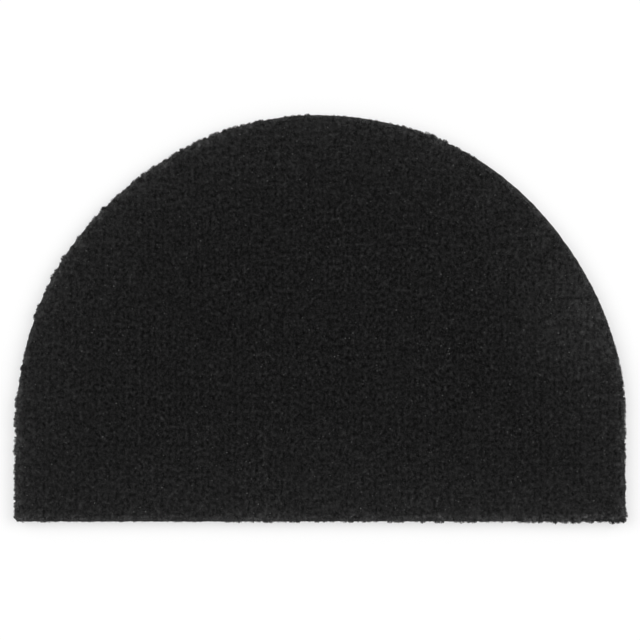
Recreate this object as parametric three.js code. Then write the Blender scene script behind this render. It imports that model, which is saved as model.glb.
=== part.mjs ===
// Half round doormat: a dense pile of cut coir standing on a thin vinyl backing.
// Millimetres, +Z up. The origin is on the floor, under the middle of the mat's box.
// +X runs along the straight edge, and +Y points to the crown of the round side.

import * as THREE from 'three';

// Driving dimensions.
const WIDTH = 600;               // along the straight edge
const DEPTH = 400;               // from the straight edge to the crown of the round side
const BACKING_THICKNESS = 2.7;
const BOND_GAP = 0.3;            // between the backing and the foot of the pile
const PILE_HEIGHT = 12;          // from its foot to the sheared top

// The cut outline: a half circle on two short straight sides and one long straight edge.
const ARC_RADIUS = WIDTH / 2;
const ARC_CENTRE_Y = DEPTH / 2 - ARC_RADIUS;
const LEFT_CORNER_RADIUS = 5;
const RIGHT_CORNER_RADIUS = 4;
const STATION_SPACING = 6.5;     // between neighbouring points of the outline
const CORNER_STEPS = 4;

// The round side was cut by hand, so it wanders inside its half circle. Each row is one wave:
// how many there are in a full turn, how deep it is, and the bearing of one of its deepest places.
const CUT_WANDER_MEAN = 1.5;
const CUT_WANDER_WAVES = [
  { turns: 1, depth: 0.4, deepestAt: 135 },
  { turns: 2, depth: 0.7, deepestAt: -5 },
  { turns: 4, depth: 0.8, deepestAt: 38 },
  { turns: 8, depth: 0.5, deepestAt: -10 },
];

// The pile's flank and shoulder, from its foot up to the sheared top: how far each line of it lies
// inside the rim, and how high it is above the foot. The tufts at the rim splay out as they rise.
const PILE_SECTIONS = [
  { inset: 2.2, rise: 0 },
  { inset: 1.2, rise: 3.5 },
  { inset: 0.3, rise: 7.5 },
  { inset: 0, rise: 9.8 },
  { inset: 0.9, rise: 11.5 },
  { inset: 2.8, rise: PILE_HEIGHT },
];

// The rim all round, by bearing from the mat's middle: how far it stands past the cut edge of the
// backing, and how ragged it is. Where the reach is negative the edge of the backing shows.
const RIM_PLACES = [
  { bearing: -180, reach: -0.5, ragged: 0.4 },
  { bearing: -170, reach: -0.5, ragged: 0.5 },
  { bearing: -163, reach: 1.0, ragged: 0.5 },
  { bearing: -155, reach: 1.2, ragged: 0.5 },
  { bearing: -148, reach: -0.3, ragged: 0.3 },
  { bearing: -120, reach: -0.4, ragged: 0.3 },
  { bearing: -105, reach: 0.1, ragged: 0.3 },
  { bearing: -50, reach: 0.1, ragged: 0.4 },
  { bearing: -36, reach: 1.1, ragged: 0.4 },
  { bearing: -28, reach: 0, ragged: 0.4 },
  { bearing: -15, reach: 1.1, ragged: 0.3 },
  { bearing: 0, reach: -0.8, ragged: 0.3 },
  { bearing: 30, reach: -2.0, ragged: 0.2 },
  { bearing: 48, reach: -0.4, ragged: 0.2 },
  { bearing: 60, reach: 1.4, ragged: 0.3 },
  { bearing: 75, reach: -0.5, ragged: 0.4 },
  { bearing: 105, reach: -0.2, ragged: 0.4 },
  { bearing: 125, reach: 1.5, ragged: 0.4 },
  { bearing: 145, reach: 0.2, ragged: 0.5 },
  { bearing: 180, reach: -0.5, ragged: 0.4 },
];
const RAGGED_WAVELENGTHS = [17, 29];  // along the outline

// The sheared top isn't quite level: it dips between broad swells.
const TOP_DIP = 0.6;
const TOP_SWELL_LENGTH = 210;
const TOP_RINGS = [0.97, 0.88, 0.72, 0.54, 0.36, 0.18];  // sizes of the inner rings of the top

// Small helpers.
const radians = THREE.MathUtils.degToRad;
const bearingOf = (x, y) => THREE.MathUtils.radToDeg(Math.atan2(y, x));

// One point of the outline: its place, its outward direction, and how deep the cut wanders in.
const station = (x, y, outX, outY, wander = 0) => ({ x, y, outX, outY, wander });

function cutWander(bearing) {
  return CUT_WANDER_WAVES.reduce(
    (sum, wave) => sum + wave.depth * Math.cos(wave.turns * radians(bearing - wave.deepestAt)),
    CUT_WANDER_MEAN,
  );
}

// A straight run of the outline, without its last point. The wander eases from one end to the other.
function straightRun([startX, startY], [endX, endY], startWander = 0, endWander = 0) {
  const length = Math.hypot(endX - startX, endY - startY);
  const outX = (endY - startY) / length;
  const outY = (startX - endX) / length;
  const steps = Math.round(length / STATION_SPACING);
  return Array.from({ length: steps }, (_, step) => {
    const t = step / steps;
    const wander = THREE.MathUtils.lerp(startWander, endWander, t);
    return station(startX + (endX - startX) * t, startY + (endY - startY) * t, outX, outY, wander);
  });
}

// A round run of the outline, anticlockwise and without its last point.
function roundRun([centreX, centreY], radius, startBearing, endBearing, steps, wanderAt = () => 0) {
  return Array.from({ length: steps }, (_, step) => {
    const bearing = THREE.MathUtils.lerp(startBearing, endBearing, step / steps);
    const outX = Math.cos(radians(bearing));
    const outY = Math.sin(radians(bearing));
    return station(
      centreX + radius * outX, centreY + radius * outY, outX, outY, wanderAt(bearing),
    );
  });
}

// The whole cut outline, anticlockwise from the left end of the straight edge.
function matOutline() {
  const halfWidth = WIDTH / 2;
  const straightEdgeY = -DEPTH / 2;
  const leftCorner = [-halfWidth + LEFT_CORNER_RADIUS, straightEdgeY + LEFT_CORNER_RADIUS];
  const rightCorner = [halfWidth - RIGHT_CORNER_RADIUS, straightEdgeY + RIGHT_CORNER_RADIUS];
  const arcSteps = Math.round(Math.PI * ARC_RADIUS / STATION_SPACING);
  return [
    ...straightRun([leftCorner[0], straightEdgeY], [rightCorner[0], straightEdgeY]),
    ...roundRun(rightCorner, RIGHT_CORNER_RADIUS, -90, 0, CORNER_STEPS),
    ...straightRun([halfWidth, rightCorner[1]], [halfWidth, ARC_CENTRE_Y], 0, cutWander(0)),
    ...roundRun([0, ARC_CENTRE_Y], ARC_RADIUS, 0, 180, arcSteps, cutWander),
    ...straightRun([-halfWidth, ARC_CENTRE_Y], [-halfWidth, leftCorner[1]], cutWander(180), 0),
    ...roundRun(leftCorner, LEFT_CORNER_RADIUS, 180, 270, CORNER_STEPS),
  ];
}

// The point that lies a given way outside the cut edge (inside it if negative).
function offsetPoint({ x, y, outX, outY, wander }, outside) {
  return [x + outX * (outside - wander), y + outY * (outside - wander)];
}

// The rim's reach and raggedness at one bearing, eased between the rows of the table.
function rimAt(bearing) {
  const next = Math.max(1, RIM_PLACES.findIndex((place) => place.bearing >= bearing));
  const [from, to] = [RIM_PLACES[next - 1], RIM_PLACES[next]];
  const t = THREE.MathUtils.smoothstep(bearing, from.bearing, to.bearing);
  return {
    reach: THREE.MathUtils.lerp(from.reach, to.reach, t),
    ragged: THREE.MathUtils.lerp(from.ragged, to.ragged, t),
  };
}

// How far the rim stands past the cut edge at one point of the outline.
function rimReach({ x, y }, index) {
  const { reach, ragged } = rimAt(bearingOf(x, y));
  const along = index * STATION_SPACING;
  const waves = RAGGED_WAVELENGTHS.map((length) => Math.sin(2 * Math.PI * along / length));
  return reach + ragged * (waves[0] + waves[1]) / RAGGED_WAVELENGTHS.length;
}

// How far the sheared top lies under its highest swell.
function topDip(x, y) {
  const across = Math.sin(2 * Math.PI * x / TOP_SWELL_LENGTH);
  const along = Math.cos(2 * Math.PI * y / TOP_SWELL_LENGTH);
  return TOP_DIP * (1 + across * along) / 2;
}

// A closed solid through rings of equally many points, with a middle point at the foot and the top.
function loftedSolid(rings, footMiddle, topMiddle) {
  const count = rings[0].length;
  const positions = [...rings.flat(), footMiddle, topMiddle].flat();
  const foot = rings.length * count;
  const top = foot + 1;
  const lastRing = (rings.length - 1) * count;
  const faces = [];
  for (let i = 0; i < count; i += 1) {
    const next = (i + 1) % count;
    faces.push(foot, next, i);
    faces.push(top, lastRing + i, lastRing + next);
    for (let ring = 0; ring < rings.length - 1; ring += 1) {
      const below = ring * count;
      const above = below + count;
      faces.push(below + i, below + next, above + next);
      faces.push(below + i, above + next, above + i);
    }
  }
  const geometry = new THREE.BufferGeometry();
  geometry.setAttribute('position', new THREE.Float32BufferAttribute(positions, 3));
  geometry.setIndex(faces);
  geometry.computeVertexNormals();
  return geometry;
}

// Backing: one flat sheet of vinyl, cut square to the outline.
function backingGeometry(outline) {
  const edge = (height) => outline.map((point) => [...offsetPoint(point, 0), height]);
  const rings = [edge(0), edge(BACKING_THICKNESS)];
  return loftedSolid(rings, [0, 0, 0], [0, 0, BACKING_THICKNESS]);
}

// Pile: one slab with splayed flanks, a soft shoulder, a ragged rim and a sheared top.
function pileGeometry(outline) {
  const widestRise = PILE_SECTIONS.find(({ inset }) => inset === 0).rise;
  const flank = PILE_SECTIONS.map(({ inset, rise }) => outline.map((point, index) => {
    const reach = rimReach(point, index) * Math.min(1, rise / widestRise);
    const [x, y] = offsetPoint(point, reach - inset);
    return [x, y, rise - topDip(x, y) * rise / PILE_HEIGHT];
  }));
  const shoulder = flank[flank.length - 1];
  const top = TOP_RINGS.map((size) => shoulder.map(([shoulderX, shoulderY]) => {
    const x = shoulderX * size;
    const y = shoulderY * size;
    return [x, y, PILE_HEIGHT - topDip(x, y)];
  }));
  return loftedSolid([...flank, ...top], [0, 0, 0], [0, 0, PILE_HEIGHT - topDip(0, 0)]);
}

// Each piece is a named mesh with its own finish.
function piece(name, geometry, finish, height) {
  const mesh = new THREE.Mesh(geometry, new THREE.MeshStandardMaterial(finish));
  mesh.name = name;
  mesh.position.z = height;
  return mesh;
}

const outline = matOutline();
const vinyl = { color: 0x161616, roughness: 0.55, metalness: 0 };
const coir = { color: 0x1d1d1d, roughness: 0.95, metalness: 0 };

const mat = new THREE.Group();
mat.add(
  piece('backing', backingGeometry(outline), vinyl, 0),
  piece('pile', pileGeometry(outline), coir, BACKING_THICKNESS + BOND_GAP),
);

// The ragged rim isn't even all round, so the mat is moved to put the middle of its box over the origin.
const middle = new THREE.Box3().setFromObject(mat).getCenter(new THREE.Vector3());
mat.position.set(-middle.x, -middle.y, 0);

export default mat;
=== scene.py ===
"""Half round doormat of black coir: a vinyl backing and a dense, sheared, tufted pile.

It is laid out as an add-on and run as a script. Everything is in metres, in the frame of the
solids: +X along the straight edge, +Y to the crown of the round side, +Z up from the floor.
"""

import math

import bpy
import numpy as np
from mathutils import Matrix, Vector
from mathutils.bvhtree import BVHTree
from mathutils.geometry import delaunay_2d_cdt
from mathutils.kdtree import KDTree


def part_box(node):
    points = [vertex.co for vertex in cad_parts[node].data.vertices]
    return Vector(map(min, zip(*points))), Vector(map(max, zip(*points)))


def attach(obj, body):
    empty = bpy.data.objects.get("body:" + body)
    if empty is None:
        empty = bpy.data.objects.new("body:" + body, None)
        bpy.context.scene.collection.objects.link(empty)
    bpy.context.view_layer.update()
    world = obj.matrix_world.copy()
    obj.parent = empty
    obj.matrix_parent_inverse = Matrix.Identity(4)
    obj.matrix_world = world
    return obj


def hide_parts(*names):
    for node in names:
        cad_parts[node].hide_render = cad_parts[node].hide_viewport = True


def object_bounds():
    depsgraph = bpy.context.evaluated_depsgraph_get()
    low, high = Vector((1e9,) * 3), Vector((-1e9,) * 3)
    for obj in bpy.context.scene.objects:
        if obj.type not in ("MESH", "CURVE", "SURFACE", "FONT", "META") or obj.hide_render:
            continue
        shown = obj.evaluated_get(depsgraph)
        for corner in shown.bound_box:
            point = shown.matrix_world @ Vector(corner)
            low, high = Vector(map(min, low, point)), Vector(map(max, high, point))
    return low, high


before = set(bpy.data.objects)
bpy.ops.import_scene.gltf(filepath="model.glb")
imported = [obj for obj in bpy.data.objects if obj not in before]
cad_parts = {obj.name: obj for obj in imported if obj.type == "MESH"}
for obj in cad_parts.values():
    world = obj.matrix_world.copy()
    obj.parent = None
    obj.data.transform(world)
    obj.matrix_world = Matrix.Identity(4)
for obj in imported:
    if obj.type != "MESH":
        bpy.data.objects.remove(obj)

bl_info = {
    "name": "Half round coir doormat",
    "version": (1, 0, 0),
    "blender": (4, 5, 0),
    "location": "3D View > Sidebar > Doormat",
    "description": "Builds a half round coir doormat on its vinyl backing",
    "category": "Add Mesh",
}

MM = 0.001
TRIANGLES_A_PIECE = 200_000

# What the solids say. The pile is moulded into the backing, so it starts just inside its top.
CAD_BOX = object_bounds()
BACKING_LOW, BACKING_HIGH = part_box("backing")
PILE_LOW, PILE_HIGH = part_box("pile")
PILE_FOOT = BACKING_HIGH.z - 0.05 * MM

# How unevenly the rim tufts stick out, by bearing from the mat's middle: degrees and millimetres.
RIM_RAGGEDNESS = [
    (-165, 0.8), (-148, 0.6), (-140, 0.3), (-110, 0.4), (-90, 0.7), (-36, 0.7),
    (-28, 0.3), (-10, 0.2), (40, 0.3), (60, 0.6), (130, 0.6), (165, 1.0),
]

# Painted light on the fibre: a painted glow in a wide band along the rim and painted light at the
# very rim, by their width, and a painted highlight at the right, by its place in shares of half
# the mat, and its width.
DUST_WIDTH = 42 * MM
RIM_WIDTH = 4.7 * MM
PATCH_PLACE = (0.86, 0.03)
PATCH_WIDTH = 55 * MM


# ---- Settings


def length(name, description, millimetres):
    """A length, given here in millimetres and kept in metres."""
    return bpy.props.FloatProperty(
        name=name,
        description=description,
        default=millimetres * MM,
        min=0.0,
        precision=5,
        subtype="DISTANCE",
        unit="LENGTH",
    )


def amount(name, description, default):
    """A plain number from nought up."""
    return bpy.props.FloatProperty(
        name=name, description=description, default=default, min=0.0, subtype="FACTOR"
    )


def count(name, description, default):
    """A whole number."""
    return bpy.props.IntProperty(name=name, description=description, default=default, min=0)


def colour(name, description, default):
    """A linear colour."""
    return bpy.props.FloatVectorProperty(
        name=name, description=description, default=default, min=0.0, max=1.0, subtype="COLOR"
    )


class DoormatPile(bpy.types.PropertyGroup):
    """How the pile is tufted and sheared."""

    seed: count("Seed", "Draw of all the pile's unevenness", 7)
    column_pitch: length("Column pitch", "Between neighbouring columns of tufts", 6.5)
    stitch_pitch: length("Stitch pitch", "Between the tufts of one column", 6.8)
    row_rise: amount("Row rise", "How much the rows climb for each step to the right", 0.057)
    zigzag: length("Zigzag", "How far every other tuft of a column stands aside", 0.8)
    wander: length("Tuft wander", "How far a tuft strays across its column", 0.7)
    slip: length("Tuft slip", "How far a tuft strays along its column", 0.9)
    column_shift: length("Column shift", "How far a column is out of step with the rows", 1.3)
    plies: count("Plies", "What the yarn of each tuft opens into", 3)
    ply_spread: length("Ply spread", "From a tuft's middle to its plies", 1.8)
    ply_radius: length("Ply radius", "Of one opened ply at its sheared top", 2.3)
    gap_depth: length("Gap depth", "From the top down to the dark between plies", 3.0)
    bed_drop: length("Bed drop", "How far the packed fibre lies under the sheared ends", 1.6)
    fibres: count("Fibres a ply", "Loose fibre ends that stand out of each ply", 5)
    fibre_radius: length("Fibre radius", "Half the thickness of a stiff fibre", 0.34)
    splay: length("Splay", "How far the outer fibres of a ply lean away from it", 0.8)
    shear_error: length("Shear unevenness", "How much the cut ends differ in height", 0.32)


class DoormatRim(bpy.types.PropertyGroup):
    """How the mat ends at its cut edge."""

    fibres: count("Fibres a rim tuft", "Whole fibres that show in each tuft of the flank", 92)
    fibre_radius: length("Fibre radius", "Half the thickness of a rim fibre", 0.25)
    tuft_spacing: length("Tuft spacing", "Between the tufts that stand along the rim", 6.4)
    depth: length("Depth", "How far in from the rim the whole fibres go", 4.4)
    raggedness: amount("Raggedness", "How unevenly the rim tufts stick out", 1.0)
    knife_waver: length("Knife waver", "How much the knife wavered in the backing", 0.25)


class DoormatFinish(bpy.types.PropertyGroup):
    """Colours of the coir and the vinyl, with the coir's painted shade and painted light."""

    coir_tip: colour("Coir tips", "Sheared ends of the dyed fibre", (0.0345, 0.0344, 0.0345))
    # Painted shade: the colour below stands for the shade down between the plies.
    coir_root: colour("Coir roots", "Dyed fibre between its neighbours", (0.0095, 0.0095, 0.0096))
    vinyl: colour("Vinyl", "Backing sheet", (0.0105, 0.0105, 0.0108))
    # The grey below and the three amounts after it are painted light: a painted glow in a wide band
    # along the rim, painted light at the very rim, and a painted highlight at the right.
    coir_faded: colour("Faded coir", "Fibre that has lost its dye", (0.2, 0.2, 0.2))
    rim_fading: amount("Rim fading", "How far the fibre has faded at the very rim", 0.72)
    dust_fading: amount("Dust fading", "How far it has faded in the wide band along the rim", 0.12)
    patch_fading: amount("Patch fading", "How far it has faded in the patch at the right", 0.115)


class DoormatStage(bpy.types.PropertyGroup):
    """Camera, floor and light."""

    lens: bpy.props.FloatProperty(
        name="Lens", description="Focal length", default=200.0, subtype="DISTANCE_CAMERA"
    )
    view_width: length("View width", "What the camera takes in at the top of the pile", 626.3)
    view_drop: length("View drop", "How far below the backing's middle the camera looks", 1.7)
    daylight: amount("Daylight", "Strength of the even light from all round", 0.5)
    lamp_strength: amount("Lamp strength", "What the soft lamps add on the floor", 0.5)


# ---- The mat's form, read from the solids


class Outline:
    """The cut edge of the backing: evenly spaced points, anticlockwise, with their way out."""

    LEVEL = 0.1 * MM       # what counts as one height
    MIDDLE_ROOM = 20 * MM  # round the middle point of the solid's foot, which isn't on its edge
    DECIMALS = 6           # of a metre, within which two corners are one

    def __init__(self, spacing):
        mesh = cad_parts["backing"].data
        points = np.array([vertex.co for vertex in mesh.vertices])
        foot = points[points[:, 2] < BACKING_LOW.z + self.LEVEL][:, :2]
        foot = foot[np.linalg.norm(foot, axis=1) > self.MIDDLE_ROOM]
        rim = np.unique(foot.round(self.DECIMALS), axis=0)
        rim = rim[np.argsort(np.arctan2(rim[:, 1], rim[:, 0]))]
        closed = np.vstack([rim, rim[:1]])
        along = np.cumsum(np.linalg.norm(np.diff(closed, axis=0), axis=1))
        self.length = along[-1]
        steps = round(self.length / spacing)
        self.along = np.arange(steps) * self.length / steps
        ends = np.concatenate([[0.0], along])
        self.points = np.column_stack([np.interp(self.along, ends, axis) for axis in closed.T])
        ahead = np.roll(self.points, -1, axis=0) - np.roll(self.points, 1, axis=0)
        self.out = np.column_stack([ahead[:, 1], -ahead[:, 0]])
        self.out /= np.linalg.norm(self.out, axis=1)[:, None]

    def read(self, along, values):
        """Values that are known at the outline's points, at any lengths along it."""
        ends = np.append(self.along, self.length)
        return np.interp(np.mod(along, self.length), ends, np.append(values, values[0]))

    def at(self, along, outside=0.0):
        """Points that lie some way outside the edge, at any lengths along it."""
        point = np.column_stack([self.read(along, axis) for axis in self.points.T])
        out = np.column_stack([self.read(along, axis) for axis in self.out.T])
        out /= np.linalg.norm(out, axis=1)[:, None]
        return point + out * np.broadcast_to(outside, len(out))[:, None]


def depth_inside(points, polygon, at_once=4000):
    """How far inside a closed polygon each point lies, and negative outside it."""
    side = np.roll(polygon, -1, axis=0) - polygon
    depth = np.empty(len(points))
    for first in range(0, len(points), at_once):
        part = points[first:first + at_once, None] - polygon
        t = np.clip((part * side).sum(2) / (side**2).sum(1), 0, 1)
        depth[first:first + at_once] = np.linalg.norm(part - t[..., None] * side, axis=2).min(1)
    crossings = np.zeros(len(points), int)
    for (x0, y0), (run, rise) in zip(polygon, side):
        spans = (points[:, 1] < y0) != (points[:, 1] < y0 + rise)
        if rise:
            crossings += spans & (points[:, 0] < x0 + (points[:, 1] - y0) * run / rise)
    return np.where(crossings % 2, depth, -depth)


class PileForm:
    """The pile's solid: how far out its flank is at each height, and how high its top is."""

    HEIGHTS = PILE_LOW.z + np.array([0.4, 3.5, 7.5, 9.8, 11.2]) * MM
    FAR = 20 * MM             # outside the flank, from where rays are sent in to find it

    def __init__(self, outline):
        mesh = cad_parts["pile"].data
        corners = [tuple(vertex.co) for vertex in mesh.vertices]
        self.tree = BVHTree.FromPolygons(corners, [tuple(face.vertices) for face in mesh.polygons])
        self.outline = outline
        self.flanks = [self._flank(height) for height in self.HEIGHTS]

    def _flank(self, height):
        """How far outside the cut edge the flank is at one height, all round."""
        reach = []
        for point, out in zip(self.outline.points, self.outline.out):
            start = Vector((*(point + self.FAR * out), height))
            distance = self.tree.ray_cast(start, Vector((*-out, 0)), 2 * self.FAR)[3]
            reach.append(np.nan if distance is None else self.FAR - distance)
        reach = np.array(reach)
        known = ~np.isnan(reach)
        return np.interp(self.outline.along, self.outline.along[known], reach[known])

    def flank(self, along, height):
        """How far outside the cut edge the flank is at one height, at any lengths along it."""
        at = np.interp(height, self.HEIGHTS, np.arange(len(self.flanks)))
        low = min(int(at), len(self.flanks) - 2)
        below, above = (self.outline.read(along, flank) for flank in self.flanks[low:low + 2])
        return below * (1 - at + low) + above * (at - low)

    def top(self, points):
        """How high the sheared top is over each point."""
        down = Vector((0, 0, -1))
        hits = [self.tree.ray_cast(Vector((x, y, 1)), down)[0] for x, y in points]
        return np.array([hit.z if hit else PILE_HIGH.z for hit in hits])


OUTLINE = Outline(spacing=2.0 * MM)
FORM = PileForm(OUTLINE)


def ways(turn):
    """The level ways at some turns from +X."""
    return np.column_stack([np.cos(turn), np.sin(turn)])


def swells(points, wavelength, rng, waves=7, rates=(0.7, 1.5)):
    """A smooth wandering field over the mat, of about -1 to 1, from waves of about one length."""
    total = np.zeros(len(points))
    for _ in range(waves):
        turn, phase = rng.uniform(0, math.tau, 2)
        rate = rng.uniform(*rates) * math.tau / wavelength
        total += np.sin(rate * (points @ (math.cos(turn), math.sin(turn))) + phase)
    return total / math.sqrt(2 * waves)


def fading(points, depth, finish):
    """How much painted light lies on the fibre at places on the mat: nought is none, one is grey.
    """
    # A painted glow in a wide band along the rim, painted light at the very rim, and a painted
    # highlight at the right.
    dust = finish.dust_fading * np.exp(-depth / DUST_WIDTH)
    rim = finish.rim_fading * np.exp(-((depth / RIM_WIDTH) ** 2))
    patch_middle = (PATCH_PLACE[0] * CAD_BOX[1].x, PATCH_PLACE[1] * CAD_BOX[1].y)
    away = np.linalg.norm(points - patch_middle, axis=1)
    patch = finish.patch_fading * np.exp(-((away / PATCH_WIDTH) ** 2))
    return 1 - (1 - dust) * (1 - rim) * (1 - patch)


def plan_tree(spots):
    """What finds the nearest of some places on the mat."""
    tree = KDTree(len(spots))
    for index, spot in enumerate(spots):
        tree.insert((*spot, 0), index)
    tree.balance()
    return tree


def jostled(spots, room, rounds=2, share=0.35):
    """Places that have pushed apart wherever they were nearer than the room they need.

    In each round a place gives way by a share of the room that it and its neighbour lack.
    """
    for _ in range(rounds):
        tree = plan_tree(spots)
        push = np.zeros_like(spots)
        for index, (x, y) in enumerate(spots):
            for place, other, distance in tree.find_range((x, y, 0), room):
                if other != index:
                    away = share * (room - distance) / max(distance, 0.1 * MM)
                    push[index] += away * (x - place.x), away * (y - place.y)
        spots = spots + push
    return spots


# Below, DISTANCE, SIZE and REACH are the middle and the spread of normal factors, and TONE and
# the draws of painted light those of log-normal ones. How far out of painted shade a place is runs
# from 1 at a pale sheared end to 0 down between the plies.


class Tufts:
    """Every tuft of the pile and the plies that its yarn opens into, cut at the top."""

    RIM_MARGIN = 1.2 * MM    # between a tuft and the cut edge
    PLY_MARGIN = 0.6 * MM    # between a ply and the cut edge
    LOOSE_MARGIN = 2.6 * MM  # between the cut edge and the plies that have loose ends
    LEAN = 0.5 * MM          # of the whole pile, which turns over the next length
    LEAN_LENGTH = 60 * MM
    OWN_LEAN = 0.25 * MM     # of each tuft by itself, and again of each ply
    SHADE = 0.03             # how much broad patches differ in tone, over the next length
    SHADE_LENGTH = 90 * MM
    ROOM = 1.45              # what a ply takes up, in its radius
    SHORTFALL = 0.15 * MM    # of the plies under the sheared top
    DRIFT = 0.25 * MM        # of a column against its neighbour

    # Each ply's draws: its distance from the tuft's middle, its size, its tone and its painted
    # light.
    DISTANCE, DISTANCE_LIMITS = (1, 0.2), (0.4, 1.6)
    SIZE, SIZE_LIMITS = (1, 0.08), (0.8, 1.2)
    TONE = (0, 0.08)
    FADING = (-0.06, 0.35)

    def __init__(self, pile, finish):
        rng = np.random.default_rng(pile.seed)
        tuft = self._places(pile, rng)
        tuft = tuft[depth_inside(tuft, OUTLINE.points) > self.RIM_MARGIN]
        turned = [swells(tuft, self.LEAN_LENGTH, rng) for _ in range(2)]
        tuft_lean = self.LEAN * np.column_stack(turned) + rng.normal(0, self.OWN_LEAN, tuft.shape)
        tuft_tone = 1 + self.SHADE * swells(tuft, self.SHADE_LENGTH, rng)

        of = np.repeat(np.arange(len(tuft)), pile.plies)
        turn = np.repeat(rng.uniform(0, math.tau, len(tuft)), pile.plies)
        turn += math.tau / pile.plies * np.tile(np.arange(pile.plies), len(tuft))
        away = pile.ply_spread * rng.normal(*self.DISTANCE, len(of)).clip(*self.DISTANCE_LIMITS)
        self.spot = tuft[of] + away[:, None] * ways(turn)
        self.spot = jostled(self.spot, self.ROOM * pile.ply_radius)
        depth = depth_inside(self.spot, OUTLINE.points)
        kept = depth > self.PLY_MARGIN
        of, depth, self.spot = of[kept], depth[kept], self.spot[kept]
        self.top = FORM.top(self.spot) - np.abs(rng.normal(0, self.SHORTFALL, len(of)))
        self.size = pile.ply_radius * rng.normal(*self.SIZE, len(of)).clip(*self.SIZE_LIMITS)
        self.lean = tuft_lean[of] + rng.normal(0, self.OWN_LEAN, self.spot.shape)
        self.tone = tuft_tone[of] * rng.lognormal(*self.TONE, len(of))
        self.faded = fading(self.spot, depth, finish) * rng.lognormal(*self.FADING, len(of))
        self.loose = np.flatnonzero(depth > self.LOOSE_MARGIN)

    def _places(self, pile, rng):
        """Columns of stitches that zigzag, each column a little out of step with the next."""
        half_width = CAD_BOX[1].x + pile.column_pitch
        half_depth = CAD_BOX[1].y + 2 * pile.stitch_pitch + half_width * pile.row_rise
        columns = np.arange(-half_width, half_width, pile.column_pitch)
        stitches = np.arange(-half_depth, half_depth, pile.stitch_pitch)
        x, y = np.meshgrid(columns, stitches, indexing="ij")
        drift = np.cumsum(rng.normal(0, self.DRIFT, len(columns)))
        drift += rng.normal(0, pile.column_shift, len(columns))
        side = np.where(np.arange(len(stitches)) % 2, 1, -1)
        places = np.column_stack([
            (x + 0.5 * pile.zigzag * side).ravel(),
            (y + x * pile.row_rise + drift[:, None]).ravel(),
        ])
        return places + rng.normal(0, 1, places.shape) * (pile.wander, pile.slip)


def raggedness(spots):
    """How unevenly the tufts stick out at places along the rim, in metres."""
    bearing = np.degrees(np.arctan2(spots[:, 1], spots[:, 0]))
    bearings, uneven = zip(*RIM_RAGGEDNESS)
    return np.interp(bearing, bearings, uneven, period=360) * MM


class RimTufts:
    """The tufts that stand along the rim, and how far each sticks out past the solid's flank."""

    STRAY = 0.2               # along the rim, in the tufts' spacing
    REACH, REACH_LIMITS = (0.2, 0.9), (-1.1, 1.6)  # in the raggedness there
    # How much painted light each tuft carries.
    FADING = (-0.03, 0.5)

    def __init__(self, pile, rim):
        rng = np.random.default_rng((pile.seed, 4))
        self.number = round(OUTLINE.length / rim.tuft_spacing)
        shift = rng.uniform(-self.STRAY, self.STRAY, self.number)
        self.along = (np.arange(self.number) + shift) * OUTLINE.length / self.number
        uneven = rng.normal(*self.REACH, self.number).clip(*self.REACH_LIMITS)
        self.reach = uneven * rim.raggedness * raggedness(OUTLINE.at(self.along))
        self.faded = rng.lognormal(*self.FADING, self.number)

    def nearest(self, along):
        """How far the nearest tuft sticks out, and how far along the rim its middle is."""
        gap = np.abs(along[:, None] - self.along)
        gap = np.minimum(gap, OUTLINE.length - gap)
        return self.reach[gap.argmin(1)], gap.min(1)


# ---- Meshes


def add_object(name, data):
    """A new object in the scene."""
    new = bpy.data.objects.new(name, data)
    bpy.context.scene.collection.objects.link(new)
    return new


def add_piece(name, points, faces, values=None, bake_map=None):
    """A new flat-shaded piece from its points and arrays of faces, each of one kind of face.

    values holds a number for each point under each name, and bake_map a place on the baked
    map for each corner of the faces, in their order.
    """
    sizes = np.concatenate([np.full(len(kind), kind.shape[1]) for kind in faces])
    corners = np.concatenate([kind.ravel() for kind in faces])
    mesh = bpy.data.meshes.new(name)
    mesh.vertices.add(len(points))
    mesh.vertices.foreach_set("co", points.astype(np.float32).ravel())
    mesh.loops.add(len(corners))
    mesh.loops.foreach_set("vertex_index", corners.astype(np.int32))
    mesh.polygons.add(len(sizes))
    mesh.polygons.foreach_set("loop_start", (np.cumsum(sizes) - sizes).astype(np.int32))
    mesh.polygons.foreach_set("use_smooth", np.zeros(len(sizes), bool))
    mesh.update(calc_edges=True)
    if bake_map is not None:
        layer = mesh.uv_layers.new(name="OFBake")
        layer.uv.foreach_set("vector", np.concatenate(bake_map).astype(np.float32).ravel())
    for value_name, numbers in (values or {}).items():
        attribute = mesh.attributes.new(value_name, "FLOAT", "POINT")
        attribute.data.foreach_set("value", numbers.astype(np.float32))
    if (sizes - 2).sum() > TRIANGLES_A_PIECE or mesh.validate():
        raise RuntimeError(f"{name} has {(sizes - 2).sum()} triangles, or some that are no faces")
    return add_object(name, mesh)


def dress(piece, node, material):
    """The piece moves with the mat, stands for its solid and wears its finish."""
    piece.data.materials.append(material)
    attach(piece, "root")
    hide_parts(node)
    return piece


def wall_faces(lower, upper):
    """Quads between two closed rings of points, anticlockwise from above."""
    return np.column_stack([lower, np.roll(lower, -1), np.roll(upper, -1), upper])


def wall_map(steps, low, high):
    """The baked map of one such wall: a strip right across the map."""
    left = np.arange(steps) / steps
    right = left + 1 / steps
    corners = [(left, low), (right, low), (right, high), (left, high)]
    strips = [np.column_stack([across, np.full(steps, up)]) for across, up in corners]
    return np.stack(strips, axis=1).reshape(-1, 2)


def lid_faces(ring, middle, faces_up):
    """Triangles from a closed ring to its middle point."""
    around = [ring, np.roll(ring, -1)] if faces_up else [np.roll(ring, -1), ring]
    return np.column_stack([*around, np.full(len(ring), middle)])


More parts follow.
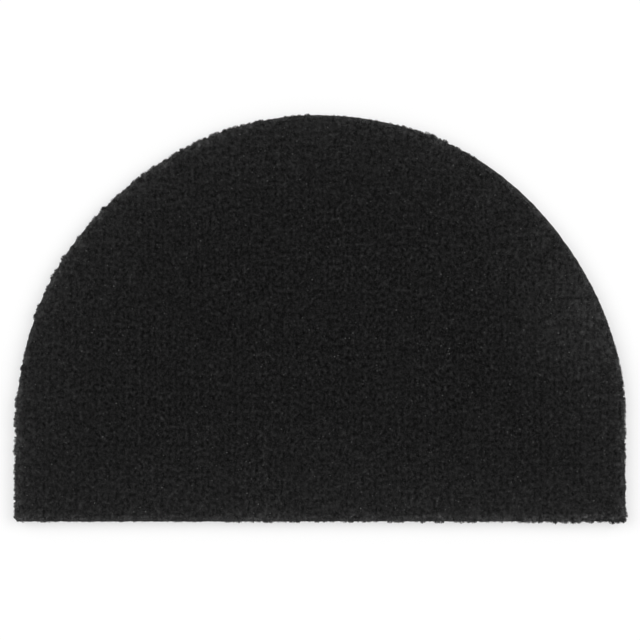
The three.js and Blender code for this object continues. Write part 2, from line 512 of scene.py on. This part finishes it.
class Fibres:
    """Stiff fibres with three sides and blunt ends, made as one piece."""

    SIDES = 3
    TAPER = 0.9              # of a fibre's cut end against its root
    THICKNESS = (0.7, 1.25)  # the least and the most, as a share of what is asked for

    # Each fibre has a small square of the baked map, with its sides below and its two ends above.
    MAP_MARGIN = 0.06
    MAP_SIDES = (0.88, 0.70)
    MAP_ROOT = [(0.06, 0.84), (0.26, 0.96), (0.46, 0.84)]
    MAP_TIP = [(0.54, 0.84), (0.94, 0.84), (0.74, 0.96)]

    def __init__(self, number, radius, rng):
        self.number = number
        self.rng = rng
        self.thick = radius * rng.uniform(*self.THICKNESS, number)

    def way_round(self, root, end):
        """The three ways from a fibre's middle to its corners, square to its length."""
        way = end - root
        way /= np.linalg.norm(way, axis=1)[:, None]
        spin = self.rng.uniform(0, math.tau, self.number)
        helper = np.column_stack([np.cos(spin), np.sin(spin), np.zeros(self.number)])
        side = np.cross(way, helper)
        side /= np.linalg.norm(side, axis=1)[:, None]
        other = np.cross(way, side)
        turns = math.tau * np.arange(self.SIDES) / self.SIDES
        return side[:, None] * np.cos(turns)[:, None] + other[:, None] * np.sin(turns)[:, None]

    def bake_map(self):
        """The fibres' squares of the baked map, in rows."""
        across = math.ceil(math.sqrt(self.number))
        place = np.arange(self.number)
        cell = np.column_stack([place % across, place // across])
        square = [(0, 0), (1, 0), (1, 1), (0, 1)]
        strips = np.array([(side + x, y) for side in range(self.SIDES) for x, y in square])
        strips = self.MAP_MARGIN + strips * (self.MAP_SIDES[0] / self.SIDES, self.MAP_SIDES[1])
        tabs = np.array(self.MAP_ROOT + self.MAP_TIP)
        return [((cell[:, None] + part) / across).reshape(-1, 2) for part in (strips, tabs)]

    def piece(self, name, root, end, **values):
        """The piece. Each of its values is a pair, for roots and ends: one number or an array."""
        joints = np.stack([root, end], axis=1)
        radii = np.column_stack([self.thick, self.TAPER * self.thick])
        rim = self.way_round(root, end)
        points = joints[:, :, None] + radii[:, :, None, None] * rim[:, None]
        first = np.arange(self.number)[:, None] * 2 * self.SIDES
        low = np.arange(self.SIDES)
        high = low + self.SIDES
        walls = (wall_faces(low, high).ravel() + first).reshape(-1, 4)
        ends = (np.concatenate([low[::-1], high]) + first).reshape(-1, 3)
        for key, pair in values.items():
            both = np.column_stack([np.broadcast_to(part, self.number) for part in pair])
            values[key] = np.repeat(both.ravel(), self.SIDES)
        return add_piece(name, points.reshape(-1, 3), [walls, ends], values, self.bake_map())


# ---- Shader maths


class Term:
    """A number that varies over a surface, so that shader maths reads as an expression."""

    def __init__(self, nodes, socket):
        self.nodes = nodes
        self.socket = socket

    def _maths(self, operation, first, second):
        """What one Math node makes of two numbers, at least one of which is a term."""
        node = self.nodes.node("Math", {"operation": operation}, {0: first, 1: second})
        return Term(self.nodes, node.outputs[0])

    def __add__(self, other):
        return self._maths("ADD", self, other)

    def __radd__(self, other):
        return self._maths("ADD", other, self)

    def __sub__(self, other):
        return self._maths("SUBTRACT", self, other)

    def __rsub__(self, other):
        return self._maths("SUBTRACT", other, self)

    def __mul__(self, other):
        return self._maths("MULTIPLY", self, other)

    def __rmul__(self, other):
        return self._maths("MULTIPLY", other, self)

    def __pow__(self, other):
        return self._maths("POWER", self, other)


class Nodes:
    """The node tree of a material or of the world, empty at first."""

    def __init__(self, owner):
        owner.use_nodes = True
        self.owner = owner
        self.tree = owner.node_tree
        self.tree.nodes.clear()

    def node(self, kind, settings=None, values=None):
        """Adds a shader node, sets it up, and gives its sockets their values or links."""
        node = self.tree.nodes.new(f"ShaderNode{kind}")
        for name, value in (settings or {}).items():
            setattr(node, name, value)
        for name, value in (values or {}).items():
            self.feed(node.inputs[name], value)
        return node

    def feed(self, socket, value):
        """Links a socket to a term or another socket, or sets its own value."""
        if isinstance(value, Term):
            value = value.socket
        if isinstance(value, bpy.types.NodeSocket):
            self.tree.links.new(value, socket)
        elif socket.type == "RGBA":
            socket.default_value = (*value[:3], 1.0)
        else:
            socket.default_value = value

    def output(self, kind, shader):
        """Ends the tree in a shader, and gives what the tree belongs to."""
        self.node(kind, values={"Surface": shader.outputs[0]})
        return self.owner

    def by_ray(self, seen, unseen):
        """One shader for rays from the camera, in gloss or through glass, and one for the rest."""
        path = self.node("LightPath").outputs
        kinds = ("Camera", "Glossy", "Transmission")
        camera, gloss, glass = (Term(self, path[f"Is {kind} Ray"]) for kind in kinds)
        values = {0: camera + gloss + glass, 1: unseen.outputs[0], 2: seen.outputs[0]}
        return self.node("MixShader", values=values)


class Finish(Nodes):
    """A material for one of the mat's pieces."""

    def __init__(self, name):
        super().__init__(bpy.data.materials.new(name))
        self.place = self.node("TexCoord").outputs["Object"]

    def painted(self, values):
        """The material, from what its one shader's sockets are given."""
        shader = self.node("BsdfPrincipled", values=values)
        return self.output("OutputMaterial", shader)

    def value_of(self, attribute):
        """A number that the piece's points carry."""
        node = self.node("Attribute", {"attribute_name": attribute})
        return Term(self, node.outputs["Fac"])

    def stretched(self, stretch):
        """The place on the mat, with its axes stretched."""
        values = {0: self.place, 1: stretch}
        return self.node("VectorMath", {"operation": "MULTIPLY"}, values).outputs[0]

    def noise(self, features, detail, stretch=(1, 1, 1)):
        """Even noise of about nought to one, with so many features a metre."""
        values = {"Vector": self.stretched(stretch), "Scale": features, "Detail": detail}
        return Term(self, self.node("TexNoise", values=values).outputs["Fac"])

    def fibre_ends(self, ends_a_metre, stretch=(1, 1, 0.07)):
        """Fibres side by side: how near the middle of its fibre a place is, and a draw for each."""
        values = {"Vector": self.stretched(stretch), "Scale": ends_a_metre}
        cells = self.node("TexVoronoi", {"voronoi_dimensions": "3D"}, values)
        draw = self.node("SeparateColor", values={"Color": cells.outputs["Color"]})
        return 1 - Term(self, cells.outputs["Distance"]), Term(self, draw.outputs["Red"])

    def between(self, low, high, factor):
        """A colour between two colours."""
        values = {"Factor": factor, 6: low, 7: high}
        return self.node("Mix", {"data_type": "RGBA"}, values).outputs[2]

    def scaled(self, paint, factor):
        """A colour made lighter or darker."""
        values = {0: paint, "Scale": factor}
        return self.node("VectorMath", {"operation": "SCALE"}, values).outputs[0]

    def bump(self, height, distance):
        """The way a surface faces with bumps on it, where a height of one is the distance."""
        values = {"Height": height, "Distance": distance}
        return self.node("Bump", values=values).outputs[0]


COIR_GLOSS = 0.12
VINYL_GLOSS = 0.3
TIP_CONTRAST = 1.4            # the more, the nearer to its end a fibre stays in painted shade


def dyed_coir(coir, colours, shade):
    """Dyed coir, darkened by painted shade between its neighbours and greyed by painted light."""
    # Painted shade down between the plies, mixed with the colour of the sheared ends.
    dyed = coir.between(colours.coir_root, colours.coir_tip, coir.value_of("tip") ** TIP_CONTRAST)
    fresh = coir.scaled(dyed, coir.value_of("tone") * shade)
    # Painted light, mixed in as grey.
    return coir.between(fresh, colours.coir_faded, coir.value_of("faded"))


def fibre_material(colours):
    """One stiff fibre, a little scaly along its length."""
    if "coir_fibre" in bpy.data.materials:
        return bpy.data.materials["coir_fibre"]
    coir = Finish("coir_fibre")
    scales = coir.noise(2500.0, detail=3.0, stretch=(1, 1, 0.3))
    return coir.painted({
        "Base Color": dyed_coir(coir, colours, 0.7 + 0.6 * scales),
        "Roughness": 0.78 + 0.2 * scales,
        "Normal": coir.bump(scales, 0.08 * MM),
        "Specular IOR Level": COIR_GLOSS,
    })


def packed_material(colours):
    """Many fibres side by side: cut ends from above, and upright strands from the side."""
    coir = Finish("packed_coir")
    middle, draw = coir.fibre_ends(2200.0)
    clumps = coir.noise(300.0, detail=0.3, stretch=(1.1, 0.9, 0.3))
    # Painted shade between the cut ends, darkest at their borders; each end's own tone; clumps of
    # tone.
    dark_between = 0.25 + 2.4 * middle**2
    own_tone = 0.6 + 0.8 * draw
    clump_tone = (2.08 * clumps) ** 1.6
    return coir.painted({
        "Base Color": dyed_coir(coir, colours, dark_between * own_tone * clump_tone),
        "Roughness": 0.75 + 0.2 * draw,
        "Normal": coir.bump(middle + draw, 0.35 * MM),
        "Specular IOR Level": COIR_GLOSS,
    })


def vinyl_material(colours):
    """Black vinyl: satin, with a fine pebble grain and faint flow marks."""
    vinyl = Finish("black_vinyl")
    pebbles = vinyl.noise(900.0, detail=1.0)
    flow = vinyl.noise(14.0, detail=4.0, stretch=(1, 5, 1))
    dark, pale = (tuple(share * part for part in colours.vinyl) for share in (0.7, 1.3))
    return vinyl.painted({
        "Base Color": vinyl.between(dark, pale, flow),
        "Roughness": 0.42 + 0.2 * pebbles,
        "Normal": vinyl.bump(pebbles, 0.25 * MM),
        "Specular IOR Level": VINYL_GLOSS,
    })


# ---- Pieces


def backing_mesh(pile, rim):
    """The vinyl sheet: flat, with a cut edge that wavers and draws in under ragged tufts."""
    waver_length = 11 * MM
    drawn_in = 0.5
    bevel = 0.25 * MM
    rng = np.random.default_rng((pile.seed, 1))
    waver = rim.knife_waver * swells(OUTLINE.points, waver_length, rng)
    waver -= drawn_in * raggedness(OUTLINE.points)
    low, high = BACKING_LOW.z, BACKING_HIGH.z
    sections = [(-bevel, low), (0.0, low + bevel), (0.0, high - bevel), (-bevel, high)]
    steps = len(waver)
    rings = [
        np.column_stack([OUTLINE.at(OUTLINE.along, waver + outside), np.full(steps, height)])
        for outside, height in sections
    ]
    ring = [np.arange(steps) + steps * level for level in range(len(rings))]
    middles = [(0, 0, low), (0, 0, high)]
    faces = [wall_faces(*pair) for pair in zip(ring, ring[1:])]
    faces.append(lid_faces(ring[0], steps * len(rings), faces_up=False))
    faces.append(lid_faces(ring[-1], steps * len(rings) + 1, faces_up=True))
    return add_piece("vinyl_backing", np.vstack([*rings, middles]), faces)


def triangulated(rim_ring, inner):
    """A plan in triangles: its points, the triangles, facing up, and which points are the rim's."""
    only_inside = 1
    one_point = 1e-7          # points nearer than this are one
    steps = len(rim_ring)
    flat = [Vector(point) for point in np.vstack([rim_ring, inner]).tolist()]
    edges = [(step, (step + 1) % steps) for step in range(steps)]
    placed, _, triangles, origins, _, _ = delaunay_2d_cdt(flat, edges, [], only_inside, one_point)
    placed = np.array(placed)
    triangles = np.array(triangles)
    first, second, third = placed[triangles.T]
    turned = np.cross(second - first, third - first) < 0
    triangles[turned] = triangles[turned][:, ::-1]
    rim = np.empty(steps, int)
    for index, sources in enumerate(origins):
        for source in sources:
            if source < steps:
                rim[source] = index
    return placed, triangles, rim


class Bed:
    """The packed fibre under the loose ends: a rough dome for each ply, and a fluted flank."""

    INSET = 1.3 * MM           # of its flank behind the solid's
    FLUTE = 0.5 * MM           # how far the flank draws in between the rim's tufts
    SHOULDER = 3.5 * MM        # how far in from its rim the top falls away
    SHOULDER_DROP = 0.8 * MM
    RING = 0.9                 # of points round each dome: its size, in the ply's, and how many
    RING_POINTS = 6
    RING_UNEVENNESS = (0.8, 1.1)
    RING_MARGIN = 0.8 * MM     # between the rim and the nearest of those points
    LUMPS = 0.25 * MM          # how rough the top is, up to the next length from its rim
    LUMP_MARGIN = 1 * MM
    TONE = (-0.02, 0.2)
    TIP, RIM_TIP = 0.7, 0.6    # how far out of painted shade its domes and its rim are
    FLANK_TIPS = (0.1, 0.5)    # out of painted shade, from the foot of the flank up
    FLANK_FADING = (0.0, 0.8)  # painted light, as a share of the rim's own
    GAP_FADING = 0.3           # painted light in the gaps beside a ply, as a share of the ply's own
    DOME_POWER = 3             # the more, the flatter a dome is and the steeper its side
    NEIGHBOURS = 3             # how many of the nearest domes may be the highest at a place
    FLANK_HEIGHTS = np.array([0, 2.5, 5.0, 7.5, 9.4]) * MM + PILE_FOOT

    # Places on the baked map: the least corner and the size of the top and of the foot, and
    # where the lowest of the flank's strips begins and ends, and how far up the next one is.
    TOP_MAP = (0.005, 0.295), (0.99, 0.70)
    FOOT_MAP = (0.01, 0.19), (0.15, 0.09)
    STRIP_MAP, STRIP_STEP = np.array([0.02, 0.05]), 0.04

    def __init__(self, pile, rim, finish):
        self.pile = pile
        self.tufts = Tufts(pile, finish)
        self.rng = np.random.default_rng((pile.seed, 2))
        self.tree = plan_tree(self.tufts.spot)
        reach, gap = RimTufts(pile, rim).nearest(OUTLINE.along)
        self.inset = self.INSET - reach.clip(max=0) + self.FLUTE * (2 * gap / rim.tuft_spacing) ** 2

    def flank_ring(self, height):
        """The flank at one height, all round."""
        reach = FORM.flank(OUTLINE.along, height) - self.inset
        return OUTLINE.at(OUTLINE.along, reach)

    def dome_points(self, rim_ring):
        """The middle of each ply and a ring of points round it."""
        spots, sizes = self.tufts.spot, self.tufts.size
        points = [spots]
        start = self.rng.uniform(0, math.tau, len(spots))
        for step in range(self.RING_POINTS):
            turn = start + math.tau * step / self.RING_POINTS
            radius = self.RING * sizes * self.rng.uniform(*self.RING_UNEVENNESS, len(spots))
            points.append(spots + radius[:, None] * ways(turn))
        points = np.vstack(points)
        return points[depth_inside(points, rim_ring) > self.RING_MARGIN]

    def relief(self, points, rim_ring):
        """The height of the bed at each point, how far out of painted shade it is there, and its
        ply.
        """
        nearness = np.zeros(len(points))
        nearest = np.zeros(len(points), int)
        for index, point in enumerate(points):
            near = self.tree.find_n((*point, 0), self.NEIGHBOURS)
            shares = [min(1.0, distance / self.tufts.size[ply]) for _, ply, distance in near]
            best = int(np.argmin(shares))
            nearness[index] = 1 - shares[best] ** self.DOME_POWER
            nearest[index] = near[best][1]
        depth = depth_inside(points, rim_ring)
        shoulder = self.SHOULDER_DROP * (1 - np.clip(depth / self.SHOULDER, 0, 1)) ** 2
        lumps = self.rng.normal(0, self.LUMPS, len(points)) * (depth > self.LUMP_MARGIN)
        drop = self.pile.bed_drop + self.pile.gap_depth * (1 - nearness) + shoulder
        return self.tufts.top[nearest] - drop + lumps, self.TIP * nearness, nearest

    def mesh(self):
        """The whole bed: its top, its flank in rings down to the backing, and its foot."""
        rim_ring = self.flank_ring(self.FLANK_HEIGHTS[-1])
        steps = len(rim_ring)
        placed, triangles, rim = triangulated(rim_ring, self.dome_points(rim_ring))
        heights, tip, ply = self.relief(placed, rim_ring)
        tone = self.tufts.tone[ply] * self.rng.lognormal(*self.TONE, len(ply))
        # Painted light, less of it down in the gaps between the plies.
        faded = self.tufts.faded[ply] * (self.GAP_FADING + tip)
        heights[rim] = self.FLANK_HEIGHTS[-1]
        tip[rim] = self.RIM_TIP

        rings = [
            np.column_stack([self.flank_ring(height), np.full(steps, height)])
            for height in self.FLANK_HEIGHTS[:-1]
        ]
        levels = [len(placed) + steps * level + np.arange(steps) for level in range(len(rings))]
        levels.append(rim)
        points = np.vstack([np.column_stack([placed, heights]), *rings, (0, 0, PILE_FOOT)])
        faces = [triangles]
        faces += [wall_faces(*pair) for pair in zip(levels, levels[1:])]
        faces.append(lid_faces(levels[0], len(points) - 1, faces_up=False))
        # Painted shade, deepest at the foot of the flank, and the rim's painted light, none at the
        # foot.
        flank_tip = np.repeat(np.linspace(*self.FLANK_TIPS, len(rings)), steps)
        flank_faded = np.outer(np.linspace(*self.FLANK_FADING, len(rings)), faded[rim]).ravel()
        values = {
            "tip": np.concatenate([tip, flank_tip, [0.0]]),
            "tone": np.concatenate([tone, np.tile(tone[rim], len(rings)), [1.0]]),
            "faded": np.concatenate([faded, flank_faded, [0.0]]),
        }
        return add_piece("coir_bed", points, faces, values, self.bake_map(points, faces))

    def bake_map(self, points, faces):
        """The top lies flat on the upper part of the map, with the flank in strips below it."""
        low, high = np.array(CAD_BOX)[:, :2]
        spread = (points[:, :2] - low) / (high - low)
        steps, walls = len(faces[1]), len(faces) - 2
        strips = [wall_map(steps, *(self.STRIP_MAP + self.STRIP_STEP * k)) for k in range(walls)]
        top = self.TOP_MAP[0] + spread[faces[0].ravel()] * self.TOP_MAP[1]
        foot = self.FOOT_MAP[0] + spread[faces[-1].ravel()] * self.FOOT_MAP[1]
        return [top, *strips, foot]


class LooseEnds:
    """The cut ends that stand out of the plies, splayed and sheared a little unevenly."""

    FOOT, END = 0.7, 0.8     # how far out in its ply a fibre stands, before it splays
    LEAN = 0.4 * MM          # of each fibre by itself
    DOMING = 0.7 * MM        # how far the outermost ends lie under the middle ones
    BURIED = 4.5 * MM        # how far its foot lies under its end
    MORE_OUTSIDE = 1.0 * MM  # and how much further that of the outermost
    TONE = (-0.03, 0.25)
    # How far out of painted shade a fibre's foot and its end are.
    ROOT_TIP, END_TIP = 0.35, (0.8, 1.0)
    ROOT_FADING = 0.5        # of its end's painted light
    UNDYED = 0.009           # the share of fibres that are much paler than the rest
    UNDYED_TONE, UNDYED_THICKNESS = 7.0, 1.2  # in what they would be

    def __init__(self, pile, tufts):
        self.pile = pile
        self.tufts = tufts

    def piece(self, lot, lots):
        """The fibres of every so many plies."""
        pile, tufts = self.pile, self.tufts
        rng = np.random.default_rng((pile.seed, 3, lot))
        ply = np.repeat(tufts.loose[lot::lots], pile.fibres)
        number = len(ply)
        radius = np.sqrt(rng.uniform(0, 1, number))
        way = ways(rng.uniform(0, math.tau, number))
        away = way * (radius * tufts.size[ply])[:, None]
        splay = way * (radius * pile.splay)[:, None]
        lean = tufts.lean[ply] + rng.normal(0, self.LEAN, (number, 2))
        foot = tufts.spot[ply] + self.FOOT * away
        end = tufts.spot[ply] + self.END * away + splay + lean
        sheared = tufts.top[ply] + rng.normal(0, pile.shear_error, number)
        sheared -= self.DOMING * radius**3
        buried = sheared - self.BURIED - self.MORE_OUTSIDE * radius
        fibres = Fibres(number, pile.fibre_radius, rng)
        tone = tufts.tone[ply] * rng.lognormal(*self.TONE, number)
        undyed = rng.uniform(0, 1, number) < self.UNDYED
        tone[undyed] *= self.UNDYED_TONE
        fibres.thick[undyed] *= self.UNDYED_THICKNESS
        end_tip = rng.uniform(*self.END_TIP, number)
        faded = tufts.faded[ply]
        return fibres.piece(
            f"pile_fibres_{lot + 1}",
            np.column_stack([foot, buried]),
            np.column_stack([end, sheared]),
            tone=(tone, tone),
            tip=(self.ROOT_TIP, end_tip),
            faded=np.clip([self.ROOT_FADING * faded, faded], 0, 1),
        )


class RimBrush:
    """Whole fibres from the backing up, which make the brush-like flank and the ragged rim."""

    FOOT, END = 0.8, 1.15   # how much of its spacing a tuft takes up along the rim
    STRAY = 0.4 * MM        # of each end along the rim, and then across it
    STRAY_ACROSS = 0.2 * MM
    SCALLOP = 1.6 * MM      # how far the rim draws in between tufts, at the next raggedness
    SCALLOPED = 0.6 * MM
    CROWDING = 1.4          # the more, the more of the fibres stand at the very rim
    SHOULDER = np.array([-0.5, 0.9, 2.8]) * MM  # how far in the ends reach each next height
    SHOULDER_HEIGHTS = [*FORM.HEIGHTS[-2:], PILE_HIGH.z - 0.2 * MM]
    SHEAR_ERROR = 1.2       # in the pile's own
    SHORTFALL = 2.0 * MM    # of the shortest fibres
    REACH = 0.3 * MM        # of the ends past the solid
    STEADY = 0.6            # how much less the innermost fibres lean out
    FOOT_LIMIT = -0.9 * MM  # the furthest out that the flank's foot may be
    FOOT_INSET = 0.2 * MM   # of the outermost feet behind it
    FOOT_DEPTH = 2.6 * MM   # and of the innermost behind those
    # Tones, with the roots darkened by painted shade at the foot of the flank; how far out of
    # painted shade the roots and the ends are; and how much painted light the ends carry.
    TONE, ROOT_TONE = (0, 0.3), 0.7
    ROOT_TIP, END_TIP = 0.3, (0.8, 1.0)
    FADING = (-0.12, 0.5)

    def __init__(self, pile, rim, finish):
        self.pile = pile
        self.rim = rim
        self.finish = finish

    def piece(self):
        """The brush all round the mat."""
        rim, pile = self.rim, self.pile
        rng = np.random.default_rng((pile.seed, 5))
        tufts = RimTufts(pile, rim)
        tuft = np.repeat(np.arange(tufts.number), rim.fibres)
        number = len(tuft)
        beside = rng.uniform(-0.5, 0.5, number) * rim.tuft_spacing
        foot_along = tufts.along[tuft] + self.FOOT * beside
        end_along = tufts.along[tuft] + self.END * beside + rng.normal(0, self.STRAY, number)
        open_gaps = (raggedness(OUTLINE.at(end_along)) / self.SCALLOPED).clip(0, 1)
        scallop = self.SCALLOP * open_gaps * (2 * beside / rim.tuft_spacing) ** 2
        inward = rng.uniform(0, 1, number) ** self.CROWDING

        inset = rim.depth * inward + rng.normal(0, self.STRAY_ACROSS, number)
        end_height = np.interp(inset, self.SHOULDER, self.SHOULDER_HEIGHTS)
        end_height += rng.normal(0, self.SHEAR_ERROR * pile.shear_error, number)
        end_height -= self.SHORTFALL * rng.uniform(0, 1, number) ** 4
        rim_reach = FORM.flank(end_along, self.SHOULDER_HEIGHTS[0]) + self.REACH
        lean_out = (tufts.reach[tuft] - scallop) * (1 - self.STEADY * inward)
        end = OUTLINE.at(end_along, rim_reach + lean_out - inset)
        foot_reach = FORM.flank(foot_along, FORM.HEIGHTS[0])
        foot_reach = np.minimum(foot_reach, self.FOOT_LIMIT) - self.FOOT_INSET
        foot = OUTLINE.at(foot_along, foot_reach - self.FOOT_DEPTH * inward)
        fibres = Fibres(number, rim.fibre_radius, rng)
        tone = rng.lognormal(*self.TONE, number)
        faded = fading(end, inset.clip(0), self.finish) * tufts.faded[tuft]
        faded *= rng.lognormal(*self.FADING, number)
        end_tip = rng.uniform(*self.END_TIP, number)
        return fibres.piece(
            "rim_fibres",
            np.column_stack([foot, np.full(number, PILE_FOOT)]),
            np.column_stack([end, end_height]),
            tone=(self.ROOT_TONE * tone, tone),
            tip=(self.ROOT_TIP, end_tip),
            faded=(0.0, faded.clip(0, 1)),
        )


# ---- Stage


WHITE = (1.0, 1.0, 1.0)
FLOOR_HALF_WIDTH = 20.0
LAMP_SPREAD = math.radians(50)
LAMPS = {"left_lamp": (-1.9, 0.7, 2.3), "right_lamp": (1.9, 0.7, 2.3)}  # and the ways to them


def floor_material():
    """A pale floor that shows white where it is fully lit, and keeps the mat's soft shadow."""
    floor = Nodes(bpy.data.materials.new("pale_floor"))
    plain = floor.node("BsdfDiffuse", values={"Color": (0.75, 0.75, 0.75)})
    shown = floor.node("BsdfDiffuse", values={"Color": (0.5, 0.5, 0.5)})
    glow = floor.node("Emission", values={"Strength": 0.52})
    both = floor.node("AddShader", values={0: shown.outputs[0], 1: glow.outputs[0]})
    return floor.output("OutputMaterial", floor.by_ray(both, plain))


def light_world(strength):
    """A plain even light from all round, and white where the world is seen."""
    sky = Nodes(bpy.data.worlds.new("even_daylight"))
    lit = sky.node("Background", values={"Color": WHITE, "Strength": strength})
    white = sky.node("Background", values={"Color": WHITE, "Strength": 1.0})
    bpy.context.scene.world = sky.output("OutputWorld", sky.by_ray(white, lit))


def add_floor():
    """A square of floor that reaches out of sight."""
    corners = np.array([(-1, -1, 0), (1, -1, 0), (1, 1, 0), (-1, 1, 0)]) * FLOOR_HALF_WIDTH
    floor = add_piece("floor", corners, [np.array([[0, 1, 2, 3]])])
    floor.data.materials.append(floor_material())


def add_lamp(name, towards, strength):
    """A large soft lamp far off, which lights the floor as an even sky this strong would."""
    light = bpy.data.lights.new(name, "SUN")
    light.angle = LAMP_SPREAD
    light.energy = strength * math.pi * Vector(towards).length / towards[2]
    lamp = add_object(name, light)
    lamp.location = towards
    lamp.rotation_euler = Vector(towards).to_track_quat("Z", "Y").to_euler()


def add_camera(stage):
    """A camera that looks straight down from as high as the view's width needs."""
    data = bpy.data.cameras.new("overhead")
    data.lens = stage.lens
    camera = add_object("overhead", data)
    height = stage.view_width * stage.lens / data.sensor_width
    middle = 0.5 * (BACKING_LOW + BACKING_HIGH)
    camera.location = (middle.x, middle.y - stage.view_drop, PILE_HIGH.z + height)
    bpy.context.scene.camera = camera


# ---- Operators and panel


def settings(context):
    """The settings of the pile, the rim and the finish."""
    scene = context.scene
    return scene.doormat_pile, scene.doormat_rim, scene.doormat_finish


class DOORMAT_OT_backing(bpy.types.Operator):
    """Cut the vinyl backing"""

    bl_idname = "doormat.backing"
    bl_label = "Backing"

    def execute(self, context):
        pile, rim, finish = settings(context)
        dress(backing_mesh(pile, rim), "backing", vinyl_material(finish))
        return {"FINISHED"}


class DOORMAT_OT_bed(bpy.types.Operator):
    """Pack the bed of fibre, with a dome for each tuft"""

    bl_idname = "doormat.bed"
    bl_label = "Packed fibre bed"

    def execute(self, context):
        pile, rim, finish = settings(context)
        dress(Bed(pile, rim, finish).mesh(), "pile", packed_material(finish))
        return {"FINISHED"}


class DOORMAT_OT_fibres(bpy.types.Operator):
    """Stand the loose fibre ends on the plies"""

    bl_idname = "doormat.fibres"
    bl_label = "Pile fibres"

    lots: count("Lots", "How many pieces the fibres are shared out in", 3)

    def execute(self, context):
        pile, _, finish = settings(context)
        ends = LooseEnds(pile, Tufts(pile, finish))
        for lot in range(self.lots):
            dress(ends.piece(lot, self.lots), "pile", fibre_material(finish))
        return {"FINISHED"}


class DOORMAT_OT_rim(bpy.types.Operator):
    """Stand whole fibres along the cut edge"""

    bl_idname = "doormat.rim"
    bl_label = "Rim fibres"

    def execute(self, context):
        pile, rim, finish = settings(context)
        brush = RimBrush(pile, rim, finish).piece()
        dress(brush, "pile", fibre_material(finish))
        return {"FINISHED"}


class DOORMAT_OT_stage(bpy.types.Operator):
    """Set the camera, the floor and the light"""

    bl_idname = "doormat.stage"
    bl_label = "Stage"

    def execute(self, context):
        scene = context.scene
        stage = scene.doormat_stage
        scene.view_settings.view_transform = "Standard"
        light_world(stage.daylight)
        add_floor()
        for name, towards in LAMPS.items():
            add_lamp(name, towards, stage.lamp_strength / len(LAMPS))
        add_camera(stage)
        return {"FINISHED"}


class DOORMAT_PT_parts(bpy.types.Panel):
    """The mat's pieces and their settings"""

    bl_label = "Half round doormat"
    bl_space_type = "VIEW_3D"
    bl_region_type = "UI"
    bl_category = "Doormat"

    def draw(self, context):
        for name in SETTINGS:
            box = self.layout.box()
            group = getattr(context.scene, name)
            for key in group.bl_rna.properties.keys():
                if key not in ("name", "rna_type"):
                    box.prop(group, key)
        for operator in OPERATORS:
            self.layout.operator(operator.bl_idname)


SETTINGS = {
    "doormat_pile": DoormatPile,
    "doormat_rim": DoormatRim,
    "doormat_finish": DoormatFinish,
    "doormat_stage": DoormatStage,
}
OPERATORS = (
    DOORMAT_OT_backing,
    DOORMAT_OT_bed,
    DOORMAT_OT_fibres,
    DOORMAT_OT_rim,
    DOORMAT_OT_stage,
)


def register():
    for group in (*SETTINGS.values(), *OPERATORS, DOORMAT_PT_parts):
        bpy.utils.register_class(group)
    for name, group in SETTINGS.items():
        setattr(bpy.types.Scene, name, bpy.props.PointerProperty(type=group))


def unregister():
    for name in SETTINGS:
        delattr(bpy.types.Scene, name)
    for group in (DOORMAT_PT_parts, *reversed(OPERATORS), *SETTINGS.values()):
        bpy.utils.unregister_class(group)


def main():
    register()
    bpy.ops.doormat.stage()
    bpy.ops.doormat.backing()
    bpy.ops.doormat.bed()
    bpy.ops.doormat.fibres()
    bpy.ops.doormat.rim()


if __name__ == "__main__":
    main()
